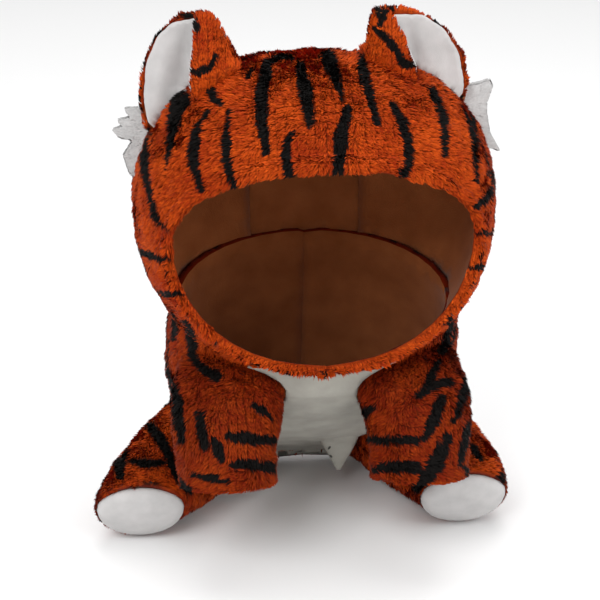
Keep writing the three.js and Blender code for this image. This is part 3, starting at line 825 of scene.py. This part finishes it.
def growPile(nodeName, shell, settings, chance):
    # Every hair tuft is a small leaf: a point at its root, two in the middle and one at its tip.
    points, normals, faces, inBed, edge, ways = bedArrays(shell)
    side = -1 if nodeName.endswith("left") else 1
    corner = points[faces]
    areas = np.linalg.norm(np.cross(corner[:, 1] - corner[:, 0], corner[:, 2] - corner[:, 0]), axis=1) / 2
    count = settings["hairs"]
    chosen = chance.choice(len(faces), count, p=areas / areas.sum())
    share = chance.random((count, 2))
    flip = share.sum(axis=1) > 1
    share[flip] = 1 - share[flip]
    weights = np.stack([1 - share.sum(axis=1), share[:, 0], share[:, 1]], axis=1)
    surface = (corner[chosen] * weights[:, :, None]).sum(axis=1)
    normal = unit((normals[faces[chosen]] * weights[:, :, None]).sum(axis=1))
    comb = combDirection(surface, normal, settings["comb"], side)
    size = 0.7 if settings["comb"] == "ear" else 1.0
    rise = pile["rise"] * size * chance.uniform(0.55, 1.15, count)
    lean = pile["lean"] * size * chance.uniform(0.6, 1.25, count)
    away = brimAway(surface, nodeName)
    rise = rise * (1 - 0.45 * np.exp(-((away - pile["brimHem"]) / 0.003) ** 2))
    index = np.floor(surface / pile["tuftCell"]).astype(np.int64)
    centre = (index + 0.5 + 0.3 * latticeValue(index, 77)) * pile["tuftCell"]
    pull = centre - surface
    pull = pull - normal * (pull * normal).sum(axis=1, keepdims=True)
    root = surface - normal * 0.0004
    tip = surface + normal * rise[:, None] + comb * lean[:, None] + pull * 0.35
    gap, nearest = fromEdge(surface, edge)
    near = gap < 0.008
    beyond = ((tip - edge[nearest]) * ways[nearest]).sum(axis=1)
    over = np.where(near, np.maximum(beyond - pile["past"] * chance.uniform(0.2, 1.0, count), 0), 0)
    tip = tip - ways[nearest] * over[:, None]
    tip[:, 2] = np.maximum(tip[:, 2], floorHeight + pile["floorGap"])
    middle = root * 0.52 + tip * 0.48 + normal * (rise * 0.16)[:, None]
    along = unit(tip - root)
    across = unit(np.cross(along, normal))
    roll = chance.normal(0, 0.35, count)[:, None]
    across = unit(across * np.cos(roll) + np.cross(along, across) * np.sin(roll))
    width = pile["width"] * chance.uniform(0.7, 1.25, count)[:, None] * 0.5
    corners = np.stack([root, middle + across * width, tip, middle - across * width], axis=1)
    colour = furColour(surface + comb * (lean * 0.45)[:, None], normal, nodeName, settings, chance)
    # Painted shade at each hair's root and painted light at its tip.
    shade = np.array([pilePaintedLightAndShade["root"], pilePaintedLightAndShade["middle"], pilePaintedLightAndShade["tip"], pilePaintedLightAndShade["middle"]])
    colours = colour[:, None, :] * shade[None, :, None]
    soft = unit(normal + np.cross(across, along) * 0.3 + comb * 0.15 + chance.normal(0, 0.12, (count, 3)))
    kept = ~underBelly(surface, normal, nodeName)
    return bladeMesh(f"{nodeName}_pile", corners[kept], colours[kept], soft[kept], normal[kept], tigerPile)


def bladeMesh(name, corners, colours, soft, outward, material):
    # Joins the leaves into one mesh, two triangles each.
    count = len(corners)
    facing = np.cross(corners[:, 1] - corners[:, 0], corners[:, 3] - corners[:, 0])
    turned = (facing * outward).sum(axis=1) < 0
    corners = corners.copy()
    corners[turned] = corners[turned][:, [0, 3, 2, 1]]
    base = np.arange(count)[:, None] * 4
    loops = np.concatenate([base + [0, 1, 3], base + [3, 1, 2]], axis=1).ravel()
    mesh = bpy.data.meshes.new(name)
    mesh.vertices.add(count * 4)
    mesh.vertices.foreach_set("co", corners.astype(np.float32).ravel())
    mesh.loops.add(count * 6)
    mesh.loops.foreach_set("vertex_index", loops.astype(np.int32))
    mesh.polygons.add(count * 2)
    mesh.polygons.foreach_set("loop_start", (np.arange(count * 2) * 3).astype(np.int32))
    mesh.update(calc_edges=True)
    mesh.polygons.foreach_set("use_smooth", np.ones(count * 2, bool))
    layer = mesh.color_attributes.new("pileColour", "FLOAT_COLOR", "POINT")
    values = np.ones((count * 4, 4), np.float32)
    values[:, :3] = colours.reshape(-1, 3)
    layer.data.foreach_set("color", values.ravel())
    mesh.normals_split_custom_set_from_vertices(np.repeat(soft, 4, axis=0).astype(np.float32).tolist())
    mesh.materials.append(material)
    return mesh


for seed, (nodeName, settings) in enumerate(plush.items()):
    chance = np.random.default_rng(100 + seed)
    ear = settings["comb"] == "ear"
    skin = pileSkin(nodeName, settings)
    sunk = pile["earSunk" if ear else "sunk"]
    shell = plushShell(skin, sunk, pile["earThick" if ear else "thick"], nodeName)
    skin.free()
    points, normals, faces, inBed = bedArrays(shell)[:4]
    swellBed(shell, points, normals, inBed, nodeName, ear)
    hairs = growPile(nodeName, shell, settings, chance)
    cloth = finishBed(nodeName, shell, settings, chance)
    shell.free()
    pilePiece = finishPiece(f"{nodeName}_pile", hairs)
    area = sum(face.area for face in cloth.data.polygons) / 2
    print(f"{nodeName}: {area:.4f} square metres, {settings['hairs']} hairs")


# Smooth white cloth: belly panel, ear linings and soles. "tuck" is how far an edge that meets the hood goes
# on into its pile. The creases stand forward (or lie back, below 0) along soft lines seen from the front.
# Columns: start x, z and end x, z over the floor, half width, height, all in millimetres.

whitePieces = {
    # The belly panel takes the grey copy of the white cloth, which is painted shade.
    "belly": {
        "slot": "white_cloth", "flat": (0.12, 0.20), "area": 0.016, "cloth": bellyClothPaintedShade, "tuck": 0,
        "creases": [(14, 8, -8, 44, 5, -2.2), (30, 10, 24, 50, 5, 1.8), (-36, 12, -4, 28, 5, -1.6),
                    (-32, 62, 24, 50, 7, 1.6)],
    },
    "ear_lining_left": {
        "slot": "ear_cloth", "flat": (0.09, 0.06), "area": 0.0031, "cloth": whiteCloth, "tuck": 0.0038,
        "creases": [(-72, 326, -80, 272, 3.5, -2.4), (-84, 322, -96, 258, 4.5, 2.0),
                    (-74, 276, -96, 252, 3.5, -1.6)],
    },
    "ear_lining_right": {
        "slot": "ear_cloth", "flat": (0.08, 0.05), "area": 0.0020, "cloth": whiteCloth, "tuck": 0.0038,
        "creases": [(40, 330, 56, 286, 3.2, 2.6), (50, 330, 63, 288, 2.8, -2.8),
                    (60, 292, 82, 268, 5, 2.0), (74, 312, 84, 280, 4, -1.4)],
    },
    "sole_left": {
        "slot": "white_cloth", "flat": (0.058, 0.050), "area": 0.0023, "cloth": whiteCloth, "tuck": 0,
        "creases": [(-120, 30, -96, 36, 6, 0.5)],
    },
    "sole_right": {
        "slot": "white_cloth", "flat": (0.058, 0.050), "area": 0.0023, "cloth": whiteCloth, "tuck": 0,
        "creases": [(82, 32, 104, 26, 6, 0.5)],
    },
}
whiteEdge = 0.0040


def creaseHeight(place, rows):
    total = 0
    for x1, z1, x2, z2, half, height in rows:
        start = Vector((x1 / 1000, 0, z1 / 1000 + floorHeight))
        line = Vector((x2 - x1, 0, z2 - z1)) / 1000
        offset = Vector((place.x, 0, place.z)) - start
        share = offset.dot(line) / line.length_squared
        aside = (offset - line * share).length / (half / 1000)
        along = math.sin(math.pi * min(max(share, 0), 1))
        total += height / 1000 * along * math.exp(-aside * aside)
    return total


hoodTree = treeOf(hoodNodes)
for nodeName, settings in whitePieces.items():
    made = weldedCopy(nodeName)
    for turn in range(3):
        long = [edge for edge in made.edges if edge.calc_length() > whiteEdge]
        bmesh.ops.subdivide_edges(made, edges=long, cuts=1)
        bmesh.ops.triangulate(made, faces=made.faces)
    for vert in made.verts:
        spot, normal, index, gap = hoodTree.find_nearest(vert.co)
        if gap < 0.0015:
            vert.co -= normal * settings["tuck"]
        else:
            vert.co.y -= creaseHeight(vert.co, settings["creases"])
    if settings["tuck"]:
        smoothed(made, made.verts, 0.4)
    for face in made.faces:
        face.smooth = True
    mesh = bpy.data.meshes.new(f"{nodeName}_cloth")
    area = sum(face.calc_area() for face in made.faces) / 2
    made.to_mesh(mesh)
    made.free()
    mesh.materials.append(settings["cloth"])
    piece = finishPiece(f"{nodeName}_cloth", mesh, nodeName)
    print(f"{nodeName}: {area:.4f} square metres, {len(mesh.polygons)} triangles")


# Two small dark stitches on the fold at the belly panel's corner: where each shows in the 600 x 600 frame,
# its half length and half width, and how far it leans from upright in degrees.

stitches = [(329.5, 447.5, 0.0016, 0.0007, 35), (331.0, 456.0, 0.0014, 0.0007, -40)]
bellyTree = treeOf(["belly"])
threads = bmesh.new()
for across, down, half, thin, lean in stitches:
    scale = photoCamera["lens"] / photoCamera["sensor"] * photoCamera["pixels"]
    middle = photoCamera["pixels"] / 2
    aim = camera.rotation_quaternion @ Vector(((across - middle) / scale, (middle - down) / scale, -1))
    spot, normal, index, gap = bellyTree.ray_cast(camera.location, aim.normalized())
    turn = Matrix.Rotation(math.radians(lean), 4, "Y") @ Matrix.Diagonal((thin, thin * 0.7, half, 1))
    place = Matrix.Translation(spot + normal * 0.0002)
    bmesh.ops.create_icosphere(threads, subdivisions=2, radius=1, matrix=place @ turn)
for face in threads.faces:
    face.smooth = True
threadMesh = bpy.data.meshes.new("belly_stitches")
threads.to_mesh(threadMesh)
threads.free()
darkThread, nodes, links, shader = newMaterial("darkThread")
shader.inputs["Base Color"].default_value = (0.045, 0.045, 0.042, 1)
shader.inputs["Roughness"].default_value = 0.8
threadMesh.materials.append(darkThread)
finishPiece("belly_stitches", threadMesh)


# White tufts: jagged pieces behind the cheeks, covered in short hairs laid outwards.

tuft = {
    "hairs": 5200,
    "tuck": 0.0040,
    "length": 0.0050,
    "width": 0.00075,
    "white": (0.56, 0.555, 0.55),
    "past": 0.0008,
    "edge": 0.0025,
    "flat": (0.040, 0.052),
    "area": 0.0008,
}


def growTuft(nodeName, made, chance):
    side = -1 if nodeName.endswith("left") else 1
    tree = BVHTree.FromBMesh(made)
    low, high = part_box(nodeName)
    points = np.array([vert.co[:] for vert in made.verts])
    faces = np.array([[vert.index for vert in face.verts] for face in made.faces])
    corner = points[faces]
    facing = np.cross(corner[:, 1] - corner[:, 0], corner[:, 2] - corner[:, 0])
    areas = np.linalg.norm(facing, axis=1) / 2
    count = tuft["hairs"]
    chosen = chance.choice(len(faces), count, p=areas / areas.sum())
    share = chance.random((count, 2))
    flip = share.sum(axis=1) > 1
    share[flip] = 1 - share[flip]
    weights = np.stack([1 - share.sum(axis=1), share[:, 0], share[:, 1]], axis=1)
    root = (corner[chosen] * weights[:, :, None]).sum(axis=1)
    normal = unit(facing[chosen])
    fan = (root[:, 2] - (low.z + high.z) / 2) / (high.z - low.z)
    way = np.stack([np.full(count, side * 1.0), np.zeros(count), fan * 1.2], axis=1)
    way = unit(way + latticeNoise(root, 0.006, 13) * 0.4)
    length = tuft["length"] * chance.uniform(0.5, 1.1, count)
    tip = root + way * length[:, None] + normal * chance.uniform(0.0002, 0.0009, count)[:, None]
    for i in range(count):
        past = tree.find_nearest(tip[i])[3]
        if past > tuft["past"]:
            tip[i] = root[i] + (tip[i] - root[i]) * tuft["past"] / past
    across = unit(np.cross(way, normal) + chance.normal(0, 0.2, (count, 3)))
    middle = (root + tip) / 2 + normal * 0.0003
    width = tuft["width"] * chance.uniform(0.6, 1.2, count)[:, None] * 0.5
    corners = np.stack([root, middle + across * width, tip, middle - across * width], axis=1)
    # Each hair is darker towards its root, painted shade between the hairs, and its whole tone varies at
    # random.
    tone = chance.uniform(0.9, 1.0, count)[:, None, None] * np.array([0.92, 0.97, 1.0, 0.97])[None, :, None]
    colours = np.array(tuft["white"])[None, None, :] * tone
    return bladeMesh(f"{nodeName}_hairs", corners, colours, unit(normal + way * 0.2), normal, whitePile)


for seed, nodeName in enumerate(["tuft_left", "tuft_right"]):
    made = weldedCopy(nodeName)
    long = [edge for edge in made.edges if edge.calc_length() > tuft["edge"]]
    bmesh.ops.subdivide_edges(made, edges=long, cuts=2)
    bmesh.ops.triangulate(made, faces=made.faces)
    for vert in made.verts:
        spot, normal, index, gap = hoodTree.find_nearest(vert.co)
        if gap < 0.0015:
            vert.co -= normal * tuft["tuck"]
    made.verts.index_update()
    for face in made.faces:
        face.smooth = True
    hairs = growTuft(nodeName, made, np.random.default_rng(300 + seed))
    mesh = bpy.data.meshes.new(f"{nodeName}_cloth")
    made.to_mesh(mesh)
    made.free()
    mesh.materials.append(whiteCloth)
    piece = finishPiece(f"{nodeName}_cloth", mesh, nodeName)
    hairPiece = finishPiece(f"{nodeName}_hairs", hairs)
    print(f"{nodeName}: {tuft['hairs']} hairs")


# Studio

def makeFloor():
    made = bmesh.new()
    bmesh.ops.create_grid(made, x_segments=2, y_segments=2, size=8)
    bmesh.ops.translate(made, verts=made.verts, vec=(0, 0, floorHeight))
    mesh = bpy.data.meshes.new("floor")
    made.to_mesh(mesh)
    made.free()
    material, nodes, links, shader = newMaterial("paleFloor")
    shader.inputs["Base Color"].default_value = (0.86, 0.86, 0.86, 1)
    shader.inputs["Roughness"].default_value = 0.9
    mesh.materials.append(material)
    floor = bpy.data.objects.new("floor", mesh)
    bpy.context.scene.collection.objects.link(floor)


def makeLight(name, place, size, power):
    data = bpy.data.lights.new(name, "AREA")
    data.shape = "SQUARE"
    data.size = size
    data.energy = power
    light = bpy.data.objects.new(name, data)
    bpy.context.scene.collection.objects.link(light)
    light.location = place
    aim = Vector((0, 0, -0.14)) - light.location
    light.rotation_mode = "QUATERNION"
    light.rotation_quaternion = aim.to_track_quat("-Z", "Y")


makeFloor()
lights = [
    ("keyLight", (-0.9, -1.5, 1.3), 1.0, 26),
    ("fillLight", (1.3, -1.1, 0.7), 1.2, 12),
    ("topLight", (0.1, 0.3, 1.7), 1.4, 16),
]
for name, place, size, power in lights:
    makeLight(name, Vector(place), size, power)
world = bpy.data.worlds.new("studio")
world.use_nodes = True
world.node_tree.nodes["Background"].inputs["Color"].default_value = (1, 1, 1, 1)
world.node_tree.nodes["Background"].inputs["Strength"].default_value = 0.75
bpy.context.scene.world = world
bpy.context.scene.view_settings.view_transform = "Standard"
